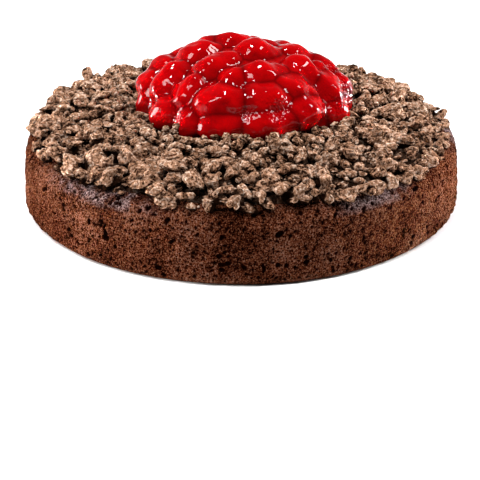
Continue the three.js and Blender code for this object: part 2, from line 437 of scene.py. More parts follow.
def back_row(level, first, last, count, thickness=BACK_THICKNESS):
    """Strawberries at one level round the back of the mound, of mixed sizes and leans."""
    return [
        (
            first + (last - first) * k / (count - 1),
            level + 5 * uneven(k, level),
            BACK_LENGTH + 7 * uneven(level, k),
            thickness + 3 * uneven(k + count, level),
            150 * uneven(level, k + count),
            0,
        )
        for k in range(count)
    ]


rows = FRONT_FRUIT + back_row(11, 108, 256, 8) + back_row(33, 117, 247, 7, MIDDLE_THICKNESS)
rows += back_row(47, 148, 232, 4, UPPER_THICKNESS) + back_row(58, 168, 222, 3, CROWN_THICKNESS)
fruit = np.array(rows, dtype=float)
print("strawberries in all:", len(fruit))

# %% [markdown]
# Azimuth and level name a point on the dome, and the lean turns the berry about the way out from
# there. So each berry gets a middle and three directions: along its length, out and sideways.

# %% Where each strawberry lies
turn, rise, tilt = np.radians(fruit[:, [0, 1, 4]]).T
fruit_length, fruit_thickness, push = fruit[:, [2, 3, 5]].T
around = np.stack([np.cos(turn), np.sin(turn), 0 * turn], axis=1)
upwards = np.stack([
    -np.sin(rise) * np.sin(turn), np.sin(rise) * np.cos(turn), np.cos(rise),
], axis=1)
fruit_axis = np.cos(tilt)[:, None] * around + np.sin(tilt)[:, None] * upwards
fruit_out = np.cross(around, upwards)
fruit_side = np.cross(fruit_axis, fruit_out)
fruit_centre = np.stack([
    TOPPING_SHIFT + (TOPPING_AXES[0] * np.cos(rise) + push) * np.sin(turn),
    -(TOPPING_AXES[1] * np.cos(rise) + push) * np.cos(turn),
    TOPPING_FOOT + TOPPING_AXES[2] * np.sin(rise),
], axis=1)
print("highest middle of a strawberry:", round(float(fruit_centre[:, 2].max()), 1))

# %% [markdown]
# Each berry gets a finer egg in its place, with soft dents and with the seed pits that show
# through the glaze. It could be sculpted, but one formula on a grid of two parameters is far
# lighter, and it also tells how far any point in space is from the berry, which the glaze needs.
# The berries in front are a little plumper than their plain eggs and touch each other, and those
# at the back are slimmer, so that the glaze shows between them.

# %% Eggs
PLUMP = 1.1
BACK_PLUMP = -0.9

plump = np.where(np.arange(len(fruit)) < len(FRONT_FRUIT), PLUMP, BACK_PLUMP)
half_length = (fruit_length + plump) / 2
half_width = (fruit_thickness + plump) / 2


def egg_points(k, step, angle):
    """Egg of revolution: from tip to stalk the radius is the half width times the sine of the step,
    times one plus the taper, and the height is minus the half length times its cosine."""
    radius = half_width[k] * np.sin(step) * (1 + FRUIT_TAPER * np.cos(step))
    along = -half_length[k] * np.cos(step)
    local = np.stack([radius * np.cos(angle), radius * np.sin(angle), along + 0 * angle], axis=-1)
    return fruit_centre[k] + local @ np.stack([fruit_out[k], fruit_side[k], fruit_axis[k]])


def egg_distances(points):
    """Distance from each point (n, 3) to each berry (n, m): in the berry's own axes, the point is
    scaled to a unit ball, and the gap to the ball is divided by how fast that gap grows."""
    away = points[:, None, :] - fruit_centre
    along = np.einsum("nmc,mc->nm", away, fruit_axis)
    across = np.sqrt(np.maximum((away**2).sum(axis=-1) - along**2, 0))
    width = half_width * (1 - FRUIT_TAPER * np.clip(along / half_length, -1, 1))
    scaled = np.sqrt((along / half_length) ** 2 + (across / width) ** 2) + 1e-9
    slope = np.sqrt((along / half_length**2) ** 2 + (across / width**2) ** 2) + 1e-9
    return scaled * (scaled - 1) / slope


print("half lengths:", round(half_length.min(), 1), "to", round(half_length.max(), 1))

# %% [markdown]
# A strawberry's seeds sit in small pits, evenly spread over its skin. Under the glaze they only
# show where its film is thin, so a few places on the mound are marked where they stand out. Slow
# dents make the berries a little unlike each other.

# %% Seeds and dents
DENT = 0.45
DENT_PITCH = 11.0
FINE_DENT = 0.2
FINE_DENT_PITCH = 5.0
PIT_SPACING = 3.0
GOLDEN_TURN = np.pi * (3 - np.sqrt(5))
# azimuth, level, width of the places where the film is thin and the seeds stand out
SEEDY_PLACES = [
    (17, 25, 6.0), (33, 20, 4.0), (62, 16, 5.0), (80, 36, 6.0), (90, 22, 9.0), (-38, 10, 4.5),
    (1, 23, 4.0),
]
SEEDY_SPREAD = 1.6


def mound_place(azimuth, level):
    """Points on the plain dome that the berries lie on, for angles in degrees."""
    around, up = np.radians(azimuth), np.radians(level)
    return np.stack([
        TOPPING_SHIFT + TOPPING_AXES[0] * np.cos(up) * np.sin(around),
        -TOPPING_AXES[1] * np.cos(up) * np.cos(around),
        TOPPING_FOOT + TOPPING_AXES[2] * np.sin(up),
    ], axis=-1)


def seedy_share(points):
    """How far the seeds stand out: one in the middle of each seedy place, and beyond it the
    exponential of minus the fourth power of the distance, which falls like a flat-topped bell."""
    azimuth, level, width = np.array(SEEDY_PLACES).T
    gap = np.linalg.norm(points[..., None, :] - mound_place(azimuth, level), axis=-1)
    return np.exp(-((gap / (SEEDY_SPREAD * width)) ** 4)).max(axis=-1)


def dents(points):
    """Soft unevenness of the whole mound, in millimetres: wide waves and a fifth of finer ones."""
    wide, fine = waves(points, DENT_PITCH, seed=5), waves(points, FINE_DENT_PITCH, seed=6)
    return DENT * wide + FINE_DENT * DENT * fine


def pit_places(k):
    """Seed pits on a spiral: equal steps of height with a golden turn between neighbours."""
    area = 4 * np.pi * half_length[k] * half_width[k]
    count = int(area / PIT_SPACING**2)
    order = np.arange(count)
    return egg_points(k, np.arccos(1 - 2 * (order + 0.5) / count), order * GOLDEN_TURN)


print("seed pits on the first berry:", len(pit_places(0)))

# %% [markdown]
# The glaze is thick where two berries meet, and light that crosses more of it comes back darker.
# The crevice there also lies in shade, which the soft light would leave too pale, so each point
# carries a number which is one where the next berry touches and falls away within a few
# millimetres. The finish reads that number to deepen its red: partly the thick glaze's own
# colour, partly a painted shade.

# %% Berry meshes
FRUIT_AROUND = 60
FRUIT_STEPS = 40
PIT_RADIUS = 0.7
PIT_DEPTH = 0.16
SEEDY_PITS = 1.4
CREVICE_SHADE_REACH = 2.2


def berry_surface(k):
    """The egg on a grid of steps and angles, with soft dents, and with a small round pit at each
    seed, which is a bell curve of the distance to the seed's place."""
    step = np.linspace(0, np.pi, FRUIT_STEPS + 1)[:, None]
    angle = np.linspace(0, 2 * np.pi, FRUIT_AROUND, endpoint=False)[None, :]
    grid = egg_points(k, step, angle)
    outwards = grid - fruit_centre[k]
    outwards /= np.linalg.norm(outwards, axis=-1, keepdims=True)
    seeds = pit_places(k)
    gap = np.linalg.norm(grid[:, :, None, :] - seeds, axis=-1)
    pits = np.exp(-((gap / PIT_RADIUS) ** 2)).sum(axis=-1)
    pits = pits * PIT_DEPTH * (1 + SEEDY_PITS * seedy_share(grid))
    grid = grid + (dents(grid) - pits)[..., None] * outwards
    points, triangles = closed_rings(grid[1:-1], grid[0].mean(axis=0), grid[-1].mean(axis=0))
    others = egg_distances(points)
    others[:, k] = np.inf
    nearest = np.maximum(others.min(axis=1), 0)
    # The last value is one next to another berry: the share of painted shade in the crevice.
    return points, triangles, np.exp(-nearest / CREVICE_SHADE_REACH)


print("triangles of one berry:", len(berry_surface(0)[1]))

# %% [markdown]
# The skin of a glazed strawberry is a deep red with a wet coat over it. The red comes from light
# that scatters just under the skin, so the shader has a little subsurface, and a clear coat
# carries the sharp highlights. Clear jelly through and through would be truer, but slow and
# noisy. The coat has a slow ripple, and where the film is thin, cells as fine as the seeds break
# its highlights into specks. The glaze between the berries takes the same finish, because it is
# the same film, only thicker.

# %% Strawberry finish
RIPPLE_SIZE = 3.5
RIPPLE_DEPTH = 0.22
SEED_SIZE = 1.7
SEED_DEPTH = 0.75


def wet_red(name, pale, deep, thick):
    """Red under a clear wet coat; thick is its colour where the glaze is deepest and the crevice
    lies in shade, so it is partly a painted shade.
    """
    red = Finish(
        name,
        Roughness=0.35,
        Subsurface_Weight=0.15,
        Subsurface_Radius=(1.0, 0.05, 0.05),
        Subsurface_Scale=0.002,
        Coat_Weight=1.0,
        Coat_Roughness=0.03,
        Coat_IOR=1.26,
        Specular_IOR_Level=0.0,
    )
    skin = red.ramp(red.noise(9, detail=2), (0.35, deep), (0.65, pale))
    ripple = red.bump(red.noise(RIPPLE_SIZE, detail=1), RIPPLE_DEPTH)
    seeds = red.math("MULTIPLY", red.attribute("seedy"), red.cells(SEED_SIZE))
    ripple = red.bump(seeds, SEED_DEPTH, before=ripple)
    # Towards the crevices the red goes to the thick glaze's colour, partly a painted shade.
    colour = red.mix(red.attribute("crevice_shade"), skin, thick)
    red.set(Base_Color=colour, Normal=ripple, Coat_Normal=ripple)
    return red.material


RED_PALE = (0.33, 0.0003, 0.001)
RED_DEEP = (0.23, 0.0002, 0.001)
RED_THICK_SHADED = (0.08, 0.0001, 0.0005)
berry_red = wet_red("glazed_strawberry", RED_PALE, RED_DEEP, RED_THICK_SHADED)

berry_count = 0
for k in range(len(fruit)):
    name = f"strawberry_{k + 1:02d}"
    points, triangles, crevice_shade = berry_surface(k)
    berry = mesh_piece(f"glazed_{name}", points, triangles, berry_red)
    add_attribute(berry, "crevice_shade", crevice_shade)
    add_attribute(berry, "seedy", seedy_share(points))
    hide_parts(name)
    berry_count += len(triangles)
print("strawberry triangles:", berry_count)

# %% [markdown]
# ## Glaze
#
# Between the berries the jelly sets in smooth hollows, and it climbs each berry a little way, as
# any wet film does. A boolean union would leave sharp creases there. This is a smooth union: the
# distance to every berry is worked out, the nearest ones are blended, and the glaze is where the
# blended distance is zero.

# %% Distance to the glaze
GLAZE_BLEND = 1.8
GLAZE_SINK = 0.14
GLAZE_CORE = TOPPING_AXES + 1.0


def core_distance(points):
    """Distance to the plain dome of jelly that the berries are bedded in: the point scaled to a
    unit ball, and its gap to the ball divided by how fast that gap grows."""
    away = points - [TOPPING_SHIFT, 0, TOPPING_FOOT]
    scaled = np.linalg.norm(away / GLAZE_CORE, axis=-1) + 1e-9
    slope = np.linalg.norm(away / GLAZE_CORE**2, axis=-1) + 1e-9
    return scaled * (scaled - 1) / slope


def glaze_distance(points):
    """Berries and dome blended: minus the blend length times the logarithm of the sum of
    exponentials, which equals the nearest distance except where two of them are alike. The
    second value is how far the next one is beyond the nearest."""
    every = np.concatenate([egg_distances(points), core_distance(points)[:, None]], axis=1)
    two = np.partition(every, 1, axis=1)[:, :2]
    nearest = two[:, 0]
    crowding = np.exp((nearest[:, None] - every) / GLAZE_BLEND).sum(axis=1)
    blended = nearest - GLAZE_BLEND * np.log(crowding)
    return blended - dents(points) + GLAZE_SINK, two[:, 1] - nearest


print("glaze at the top:", np.round(glaze_distance(np.array([[TOPPING_SHIFT, 0, 80.0]]))[0], 1))

# %% [markdown]
# The surface is found by walking. Lines are cast from the middle of the mound in all directions,
# and each starts outside and goes inwards by nearly the distance that is left, until it meets the
# glaze. Their ends make rings, from just under the widest part up to the top.

# %% Glaze surface
GLAZE_AROUND = 560
GLAZE_RINGS = 150
GLAZE_LOWEST_DEG = 100.0
GLAZE_FLOOR = 46.0
WALK_FROM = 75.0
WALK_STEPS = 22
WALK_PACE = 0.85
MIDDLE = np.array([TOPPING_SHIFT, 0.0, TOPPING_FOOT + 3.0])


def glaze_surface():
    """Rings of points where the lines from the middle meet the glaze, and for each point the
    exponential of minus the gap between the two nearest berries, which marks the hollows for
    the painted shade."""
    angle = np.linspace(0, 2 * np.pi, GLAZE_AROUND, endpoint=False)
    rings, hollows = [], []
    for polar in np.radians(np.linspace(GLAZE_LOWEST_DEG, 0, GLAZE_RINGS, endpoint=False)):
        flat = np.sin(polar)
        level = np.full(GLAZE_AROUND, np.cos(polar))
        ray = np.stack([flat * np.cos(angle), flat * np.sin(angle), level], axis=1)
        reach = np.full(GLAZE_AROUND, WALK_FROM)
        for _ in range(WALK_STEPS):
            reach -= WALK_PACE * glaze_distance(MIDDLE + ray * reach[:, None])[0]
        ring = MIDDLE + ray * reach[:, None]
        rings.append(ring)
        hollows.append(np.exp(-glaze_distance(ring)[1] / CREVICE_SHADE_REACH))
    return np.array(rings), np.array(hollows)


glaze_rings, glaze_crevice_shade = glaze_surface()
glaze_rings[..., 2] = np.maximum(glaze_rings[..., 2], GLAZE_FLOOR)
below = np.array([TOPPING_SHIFT, 0, GLAZE_FLOOR])
glaze_points, glaze_triangles = closed_rings(glaze_rings, below, glaze_rings[-1].mean(axis=0))
glaze = mesh_piece("fruit_glaze", glaze_points, glaze_triangles, berry_red)
# The glaze carries the same painted shade in its hollows.
add_attribute(glaze, "crevice_shade", np.append(glaze_crevice_shade.ravel(), [1.0, glaze_crevice_shade[-1].mean()]))
add_attribute(glaze, "seedy", seedy_share(glaze_points))
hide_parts("fruit_jelly")
print("glaze triangles:", len(glaze_triangles))

# %% [markdown]
# ## Sponge
#
# The sponge is a lathed shape: one profile, from the foot up the side, round the shoulder and
# over the dome, is carried round the middle. Its steps are as long as its columns are wide, so
# that the mesh is made of small squares everywhere on the side, and pores of one size look alike.

# %% Sponge profile
SPONGE_AROUND = 1100
SPONGE_STEP = 0.66
FOOT_CHAMFER = 2.0
SHOULDER_END = 104.0


def sponge_profile():
    """Radius and height at equal steps up the foot, the side, the shoulder and the dome's edge."""
    bend = np.linspace(0, np.pi / 2, 24)
    dome = np.linspace(TOP_RADIUS, SHOULDER_END, 12)[1:]
    radius = np.concatenate([
        [SPONGE_RADIUS - FOOT_CHAMFER, SPONGE_RADIUS, SPONGE_RADIUS - SIDE_DRAFT / 2],
        TOP_RADIUS + SHOULDER * np.cos(bend),
        dome,
    ])
    height = np.concatenate([
        [0, FOOT_CHAMFER, SIDE_HEIGHT / 2],
        SIDE_HEIGHT - SHOULDER + SHOULDER * np.sin(bend),
        dome_height(dome),
    ])
    travelled = np.append(0, np.cumsum(np.hypot(np.diff(radius), np.diff(height))))
    stops = np.linspace(0, travelled[-1], int(travelled[-1] / SPONGE_STEP) + 1)
    return np.interp(stops, travelled, radius), np.interp(stops, travelled, height)


print("rings up the side:", len(sponge_profile()[0]))

# %% [markdown]
# The tin leaves the side full of open pores. The larger ones are pressed into the mesh, where
# each is a small oval bowl, and the finest are left to the finish. The bowls are worked out on
# the unrolled side, as depths on a grid, because there all of them can be laid at once. A few
# short upright slits, where the crumb has torn, are pressed in after them.

# %% Pores
# how many, least and greatest half-width, depth
PORE_KINDS = [(1800, 0.5, 0.85, 1.0), (260, 0.85, 1.2, 1.7), (24, 1.2, 1.7, 2.2)]
PORE_SPAN = 5
# azimuth, height, half-length, half-width, depth
SLITS = [(-33, 18.5, 4.6, 0.9, 2.6), (5, 9.0, 2.6, 0.7, 1.6), (-70, 26.0, 2.2, 0.7, 1.2)]


def pore_depths(rows, random):
    """Depth of the pores on the unrolled side. Each pore is an oval bowl: its depth falls with the
    square of the distance from its middle, and where two overlap the deeper one stands."""
    depth = np.zeros((rows, SPONGE_AROUND))
    span = np.arange(-PORE_SPAN, PORE_SPAN + 1)
    for count, least, most, deep in PORE_KINDS:
        row = random.integers(2, rows - 1, count)[:, None, None]
        column = random.integers(0, SPONGE_AROUND, count)[:, None, None]
        lean = random.uniform(0, np.pi, count)[:, None, None]
        size = random.uniform(least, most, count)[:, None, None]
        stretch = random.uniform(1.0, 1.7, count)[:, None, None]
        down, across = span[None, :, None], span[None, None, :]
        main = (across * np.cos(lean) + down * np.sin(lean)) * SPONGE_STEP / (size * stretch)
        minor = (down * np.cos(lean) - across * np.sin(lean)) * SPONGE_STEP / size
        bowl = deep * np.maximum(1 - main**2 - minor**2, 0)
        bowl = bowl * random.uniform(0.6, 1.0, (count, 1, 1))
        inside = (row + down >= 0) & (row + down < rows)
        cell = np.clip(row + down, 0, rows - 1), (column + across) % SPONGE_AROUND
        np.maximum.at(depth, cell, np.where(inside, bowl, 0))
    return depth


def with_slits(pores, angle, height):
    """The pores and, where it is deeper, each slit: its depth times the square root of one minus
    the squared distances along and across it, and its middle line sways with the height."""
    for azimuth, middle, half_long, half_wide, deep in SLITS:
        turned_by = np.angle(np.exp(1j * (angle - np.radians(azimuth - 90))))
        beside = turned_by[None, :] * SPONGE_RADIUS + 0.5 * np.sin(height * 1.3)[:, None]
        upright = (height - middle)[:, None]
        slit = np.maximum(1 - (beside / half_wide) ** 2 - (upright / half_long) ** 2, 0)
        pores = np.maximum(pores, deep * np.sqrt(slit))
    return pores


print("pores:", sum(kind[0] for kind in PORE_KINDS), "slits:", len(SLITS))

# %% [markdown]
# The profile is turned round the middle with a slow wobble in its radius, because a baked cake is
# never quite round. Every point then moves along its own outward direction: out and in by a soft
# unevenness, and in by the pores. The foot stays flat, and the dome under the crumbs, which is
# hidden, is closed with a few plain rings.

# %% Sponge surface
SPONGE_WOBBLE = 0.5
# height of the unevenness, pitch, seed
UNEVEN = [(0.28, 7.0, 21), (0.12, 2.4, 22)]
DOME_RINGS = 8


def sponge_surface():
    """Points, triangles and pore depths: radius and height from the profile, plus the unevenness
    less the pores along the outward direction."""
    random = np.random.default_rng(11)
    radius, height = sponge_profile()
    rows = len(radius)
    angle = np.linspace(0, 2 * np.pi, SPONGE_AROUND, endpoint=False)
    sway = np.sin(3 * angle + 0.7) + 0.6 * np.sin(5 * angle + 2) + 0.5 * np.sin(8 * angle)
    scale = 1 + SPONGE_WOBBLE * sway / (2 * SPONGE_RADIUS)
    flat = radius[:, None] * scale
    level = np.repeat(height[:, None], SPONGE_AROUND, axis=1)
    grid = np.stack([flat * np.cos(angle), flat * np.sin(angle), level], axis=-1)
    lean_out, lean_up = np.gradient(height), -np.gradient(radius)
    steep = np.hypot(lean_out, lean_up)
    outwards = np.stack([
        (lean_out / steep)[:, None] * np.cos(angle),
        (lean_out / steep)[:, None] * np.sin(angle),
        np.repeat((lean_up / steep)[:, None], SPONGE_AROUND, axis=1),
    ], axis=-1)
    pores = with_slits(pore_depths(rows, random), angle, height)
    fade = np.clip((height - 0.5) / 2.0, 0, 1)[:, None]
    uneven_skin = sum(high * waves(grid, pitch, seed=seed, count=9) for high, pitch, seed in UNEVEN)
    grid = grid + ((uneven_skin - pores) * fade)[..., None] * outwards
    crown = np.linspace(SHOULDER_END, 0, DOME_RINGS + 1)[1:-1]
    top = np.stack([
        crown[:, None] * np.cos(angle),
        crown[:, None] * np.sin(angle),
        np.repeat(dome_height(crown)[:, None], SPONGE_AROUND, axis=1),
    ], axis=-1)
    grid = np.concatenate([grid, top])
    depth = np.concatenate([pores * fade, np.zeros((len(crown), SPONGE_AROUND))])
    points, triangles = closed_rings(grid, [0, 0, 0], [0, 0, SIDE_HEIGHT + DOME_RISE])
    return points, triangles, np.append(depth.ravel(), [0, 0])


sponge_points, sponge_triangles, pore_depth = sponge_surface()
print("sponge triangles:", len(sponge_triangles), "deepest pore", round(pore_depth.max(), 2))

# %% [markdown]
# In places the shoulder has dried to a dull grey skin. A noise in the finish could place it, but
# it would also turn up on the side, so the mesh carries the share of skin at each point.

# %% Dry skin
# azimuth and half-width, in degrees, of the places where the shoulder has dried to a grey skin
SKIN_PLACES = [(-38, 15), (34, 11), (95, 14), (150, 16), (-105, 9), (-150, 13)]
SKIN_FROM = 29.5
SKIN_FADE = 3.5


def skin_share(points):
    """Share of dry skin: the exponential of minus the fourth power of the turn from its places,
    rising from none to all of it within SKIN_FADE above the height SKIN_FROM."""
    azimuth = np.degrees(np.arctan2(points[:, 0], -points[:, 1]))
    place, width = np.array(SKIN_PLACES, dtype=float).T
    gap = (azimuth[:, None] - place + 180) % 360 - 180
    along = np.exp(-((gap / width) ** 4)).max(axis=1)
    return along * np.clip((points[:, 2] - SKIN_FROM) / SKIN_FADE, 0, 1)


dry_skin = skin_share(sponge_points)
print("share of dry skin:", round(float(dry_skin.mean()), 3))

# %% [markdown]
# Baked chocolate crumb is a red brown, and its open pores lie in deep shade. A fine noise, with
# slow patches under it, gives the brown and its bump, and small cells sink it where the crumb is
# open and darken it there, a painted shade. The deeper a pore of the mesh, the darker its brown
# is painted, a painted shade too, but raggedly, so that no round edge shows. Where the skin is
# dry the brown gives way to a greyer one.

# %% Sponge finish
MOTTLE_SHARE = 0.78
PATCH_SHARE = 0.22
RAGGED = 9.0
RAGGED_LESS = 2.6
CELL_DEPTH = 1.1
MOTTLE_DEPTH = 1.2

crumb = Finish("chocolate_sponge", Roughness=0.9, Specular_IOR_Level=0.0)
fine_cells = crumb.cells(1.3)
mottle = crumb.noise(0.8, detail=4, roughness=0.75)
patches = crumb.noise(22, detail=3)
brown = crumb.math(
    "ADD",
    crumb.math("MULTIPLY", mottle, MOTTLE_SHARE),
    crumb.math("MULTIPLY", patches, PATCH_SHARE),
)
body = crumb.ramp(
    brown,
    (0.39, (0.004, 0.0006, 0.0003)),
    (0.47, (0.046, 0.0095, 0.0034)),
    (0.54, (0.158, 0.048, 0.021)),
    (0.62, (0.255, 0.127, 0.088)),
)
skin_patch = crumb.ramp(crumb.noise(7, detail=4), (0.42, (0.1, 0.1, 0.1)), (0.56, (1, 1, 1)))
skin = crumb.ramp(
    mottle,
    (0.40, (0.020, 0.010, 0.008)),
    (0.50, (0.16, 0.092, 0.085)),
    (0.62, (0.42, 0.31, 0.31)),
)
greyed = crumb.mix(crumb.math("MULTIPLY", crumb.attribute("skin"), skin_patch), body, skin)
# Darkest at the middle of each small cell, where the bump below sinks it: a painted shade.
pits = crumb.ramp(fine_cells, (0.22, (0.02, 0.01, 0.005)), (0.46, (1, 1, 1)))
pit_shaded = crumb.mix(0.9, greyed, pits, "MULTIPLY")
ragged = crumb.math("SUBTRACT", crumb.math("MULTIPLY", mottle, RAGGED), RAGGED_LESS)
# The deeper the pore of the mesh, the darker the brown: a painted shade.
pore_shade = crumb.math("MULTIPLY", crumb.attribute("pore_depth"), ragged, clamp=True)
crumb_colour = crumb.mix(pore_shade, pit_shaded, (0.006, 0.001, 0.0005))
fine_bump = crumb.bump(fine_cells, CELL_DEPTH)
crumb_bump = crumb.bump(mottle, MOTTLE_DEPTH, before=fine_bump)
crumb.set(Base_Color=crumb_colour, Normal=crumb_bump)

sponge = mesh_piece("baked_sponge", sponge_points, sponge_triangles, crumb.material)
add_attribute(sponge, "pore_depth", pore_depth)
add_attribute(sponge, "skin", dry_skin)
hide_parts("sponge")
print("sponge points:", len(sponge_points))

# %% [markdown]
# ## Crumble
#
# The crumble is a heap of loose crumbs of baked dough, from dust to lumps as long as a thumbnail.
# It could be one rough skin over the dome, but a skin has no dark gaps or overhangs. So a thin
# bed, rough like the crumbs, closes the inside, which is never seen, and the crumbs are laid over
# it one by one. They are joined into one mesh for each size.

# %% Crumble bed
BED_AROUND = 420
BED_RINGS = 46
BED_DEPTH = 3.0
BED_EDGE = 108.0
BED_RISE = 6
# height of the waves, pitch, seed
BED_ROUGH = [(0.7, 5.0, 31), (0.35, 2.6, 32)]


def bed_surface():
    """A thin lens over the dome: above the sponge by BED_DEPTH times the square root of the way
    in from its edge, up to one at BED_RISE, and rough all over."""
    angle = np.linspace(0, 2 * np.pi, BED_AROUND, endpoint=False)
    radius = np.concatenate([[BED_EDGE, BED_EDGE], np.linspace(BED_EDGE - 0.6, 4, BED_RINGS)])
    shoulder = TOP_RADIUS + SHOULDER * np.sin(np.linspace(0, np.pi / 2, 40))
    shoulder_height = SIDE_HEIGHT - SHOULDER + SHOULDER * np.cos(np.linspace(0, np.pi / 2, 40))
    sponge_top = np.where(
        radius < TOP_RADIUS, dome_height(radius), np.interp(radius, shoulder, shoulder_height)
    )
    swell = np.sqrt(np.clip((BED_EDGE - radius) / BED_RISE, 0, 1))
    swell[0], swell[1] = -0.5, 0.1
    edge_sway = 1 + 0.008 * np.sin(5 * angle + 1) + 0.006 * np.sin(9 * angle + 4)
    flat = radius[:, None] * edge_sway
    level = np.repeat((sponge_top + BED_DEPTH * swell)[:, None], BED_AROUND, axis=1)
    grid = np.stack([flat * np.cos(angle), flat * np.sin(angle), level], axis=-1)
    for high, pitch, seed in BED_ROUGH:
        grid[2:, :, 2] += high * waves(grid[2:], pitch, seed=seed, count=8)
    return closed_rings(grid, [0, 0, SIDE_HEIGHT], grid[-1].mean(axis=0))


bed_points, bed_triangles = bed_surface()
print("bed triangles:", len(bed_triangles))

# %% [markdown]
# Where the crumbs lie is worked out as they would fall. The ground is a grid of heights, one
# every millimetre: the sponge's top with the bed over it. Under the fruit it is set so high that
# nothing comes to rest there.

# %% Ground
GROUND_HALF = 124
OUT_OF_REACH = 200
FRUIT_OVER = 4
FRUIT_WITHIN = -1.0

axis = np.arange(-GROUND_HALF, GROUND_HALF + 1).astype(float)
ground_x, ground_y = np.meshgrid(axis, axis, indexing="ij")
ground_radius = np.hypot(ground_x, ground_y)
shoulder_drop = np.sqrt(np.clip(SHOULDER**2 - (ground_radius - TOP_RADIUS) ** 2, 0, None))
ground = np.where(
    ground_radius < TOP_RADIUS,
    dome_height(ground_radius),
    SIDE_HEIGHT - SHOULDER + shoulder_drop,
)
ground += BED_DEPTH * np.sqrt(np.clip((BED_EDGE - ground_radius) / BED_RISE, 0, 1))
above = np.stack([ground_x.ravel(), ground_y.ravel(), ground.ravel() + FRUIT_OVER], axis=1)
in_fruit = np.minimum(egg_distances(above).min(axis=1), core_distance(above)) < FRUIT_WITHIN
ground[in_fruit.reshape(ground.shape)] = OUT_OF_REACH
print("cells under the fruit:", int(in_fruit.sum()))

# %% [markdown]
# How high the heap may grow is a second grid, the limit. It follows the dome at an even depth,
# banks up against the fruit in front, and leaves a moat at its sides, deeper on the left. It
# slumps towards the edge, most of all at the sides, and leans a little to one side. Slow waves
# run over it all, as in crumbs that were strewn by hand.

# %% Limit of the heap
HEAP_EDGE = 113.1
HEAP_DEPTH = 9.3
HEAP_BANK = 1.2
HEAP_LEAN = 1.6
# depth of the moat beside the fruit, left and right
HEAP_MOAT = (4.0, 2.0)
FRUIT_EDGE = 56
FRUIT_FADE = 7
HEAP_SLUMP = 2.8
SLUMP_ROUND = 0.35
SLUMP_FROM = 102
SLUMP_WIDTH = 12
HEAP_WAVE = 1.4
HEAP_WAVE_PITCH = 17.0

in_front = np.clip(-ground_y / (ground_radius + 1e-9), 0, 1) ** 3
at_side = (ground_x / (ground_radius + 1e-9)) ** 2
by_fruit = np.exp(-np.clip(ground_radius - FRUIT_EDGE, 0, None) / FRUIT_FADE)
by_edge = np.clip((ground_radius - SLUMP_FROM) / SLUMP_WIDTH, 0, 1)
bank = HEAP_BANK * in_front * by_fruit
moat = np.where(ground_x < 0, *HEAP_MOAT) * at_side * by_fruit
slump = HEAP_SLUMP * (SLUMP_ROUND + at_side) * by_edge
lean = HEAP_LEAN * ground_x / HEAP_EDGE
limit = dome_height(ground_radius) + HEAP_DEPTH + bank - moat - slump - lean
limit += HEAP_WAVE * waves(np.stack([ground_x, ground_y], axis=-1), HEAP_WAVE_PITCH, seed=33)
depth_wanted = np.maximum(limit - ground, 1)
print("greatest depth over the bed:", round(float(depth_wanted.max()), 1))

# %% [markdown]
# Rubbed dough breaks into a few lumps and much small stuff. A crumb is longest one way, narrower
# the next and thinner still the third, and about one in six is drawn out into a shard. The five
# sizes fall mixed, the lumps a little ahead and the grains last, so that the large ones are
# bedded in and the dust ends on top. Each size has only as fine a mesh as it needs.

# %% Crumb sizes
# name: how many, least and greatest half-length, points around and rings, how late it falls
CRUMBLE_KINDS = {
    "crumble_lumps": (400, 5.0, 6.6, (40, 24), -0.05),
    "crumble_chunks": (750, 4.1, 5.3, (24, 15), 0.05),
    "crumble_pieces": (850, 3.0, 4.1, (18, 11), 0.1),
    "crumble_bits": (550, 1.7, 2.7, (9, 6), 0.05),
    "crumble_grains": (900, 0.6, 1.1, (6, 3), 0.25),
}
WIDTH = (0.7, 0.95)
THICKNESS = (0.55, 0.8)
SHARD_SHARE = 0.18
SHARD_LENGTH = 1.2
SHARD_WIDTH = (0.4, 0.6)
SHARD_THICKNESS = (0.35, 0.5)

fall = np.random.default_rng(7)


def half_sizes(count, least, most):
    """Half-lengths of crumbs: the longest lies between least and most, and the other two are
    random shares of it, smaller for shards."""
    longest = fall.uniform(least, most, count)
    wide, thick = fall.uniform(*WIDTH, count), fall.uniform(*THICKNESS, count)
    shape = np.stack([np.ones(count), wide, thick], 1)
    shard = fall.random(count) < SHARD_SHARE
    shards = shard.sum()
    wide, thick = fall.uniform(*SHARD_WIDTH, shards), fall.uniform(*SHARD_THICKNESS, shards)
    shape[shard] = np.stack([np.full(shards, SHARD_LENGTH), wide, thick], 1)
    return longest[:, None] * shape


kind_of, sizes = [], []
for number, (count, least, most, _, _) in enumerate(CRUMBLE_KINDS.values()):
    kind_of.append(np.full(count, number))
    sizes.append(half_sizes(count, least, most))
kind_of, sizes = np.concatenate(kind_of), np.concatenate(sizes)
lateness = np.array([kind[-1] for kind in CRUMBLE_KINDS.values()])
order = np.argsort(fall.random(len(kind_of)) + lateness[kind_of])
kind_of, sizes = kind_of[order], sizes[order]
print("crumbs to fall:", len(sizes))

# %% [markdown]
# The heap's edge isn't round. It sways, and it spills over the shoulder in two places, as crumbs
# that were pressed on by the handful do. The fine crumbs stay further in, because a lone grain on
# the shoulder would look like dust, and the lumps are held back a little, so that none hangs in
# the air.

# %% Places to try
TRIES = 5
EDGE_SWAY = 1.8
EDGE_RIPPLE = 0.7
# where the heap spills over the shoulder: turn in degrees, how much further in millimetres
SPILLS = [(-31, 2.8), (-165, 1.2)]
SPILL_POWER = 12
FINE = 2.2
SIFTED = 3.5
COARSE = 5.0
HELD_BACK = 1.2
# share of the disc's area, round its middle, that is left out: for lumps, for all the others
LUMPS_OUTSIDE = 0.5
OTHERS_OUTSIDE = 0.16


